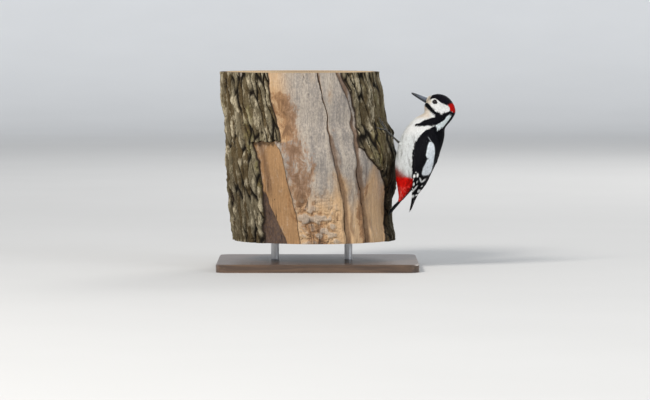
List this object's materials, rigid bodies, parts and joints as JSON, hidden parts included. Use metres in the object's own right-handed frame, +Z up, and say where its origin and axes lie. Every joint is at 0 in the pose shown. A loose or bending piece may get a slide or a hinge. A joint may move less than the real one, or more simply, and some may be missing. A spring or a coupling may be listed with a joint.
{
  "type": "great spotted woodpecker",
  "caption": "Still, life-size black, white and red woodpecker clinging upright to a short cut length of trunk, on a plain display stand.",
  "frame": {"origin": "centre of the underside of the stand's base", "axes": "+Z up; the base's long side along X; the bird clings to the trunk's +X side and faces about -X, so its back is toward +X; -Y is the side shown in the picture, the bird's left"},
  "size_m": [0.3543, 0.2445, 0.294],
  "materials": {
    "black_feather": "glossy black contour and flight feathers",
    "white_feather": "soft off-white breast and belly feathers",
    "bill_horn": "slate-grey horn, satin",
    "claw_horn": "dark horn",
    "leg_skin": "grey scaled skin",
    "eye_glass": "wet dark red-brown eye",
    "trunk_wood": "ridged bark with a bare weathered stretch",
    "base_wood": "dark stained board, satin",
    "rod_steel": "brushed"
  },
  "bodies": {
    "root": {"head": "black_feather", "neck": "black_feather", "body": "white_feather", "bill_upper": "bill_horn", "bill_lower": "bill_horn", "eye_left": "eye_glass", "eye_right": "eye_glass", "wing_left": "black_feather", "wing_right": "black_feather", "tail": "black_feather", "thigh_left": "white_feather", "thigh_right": "white_feather", "tarsus_left": "leg_skin", "tarsus_right": "leg_skin", "foot_left": "leg_skin", "foot_right": "leg_skin", "claw_left_inner": "claw_horn", "claw_left_middle": "claw_horn", "claw_left_outer": "claw_horn", "claw_left_hind": "claw_horn", "claw_right_inner": "claw_horn", "claw_right_middle": "claw_horn", "claw_right_outer": "claw_horn", "claw_right_hind": "claw_horn", "perch_log": "trunk_wood", "stand_base": "base_wood", "stand_rod_left": "rod_steel", "stand_rod_right": "rod_steel"}
  },
  "joints": []
}
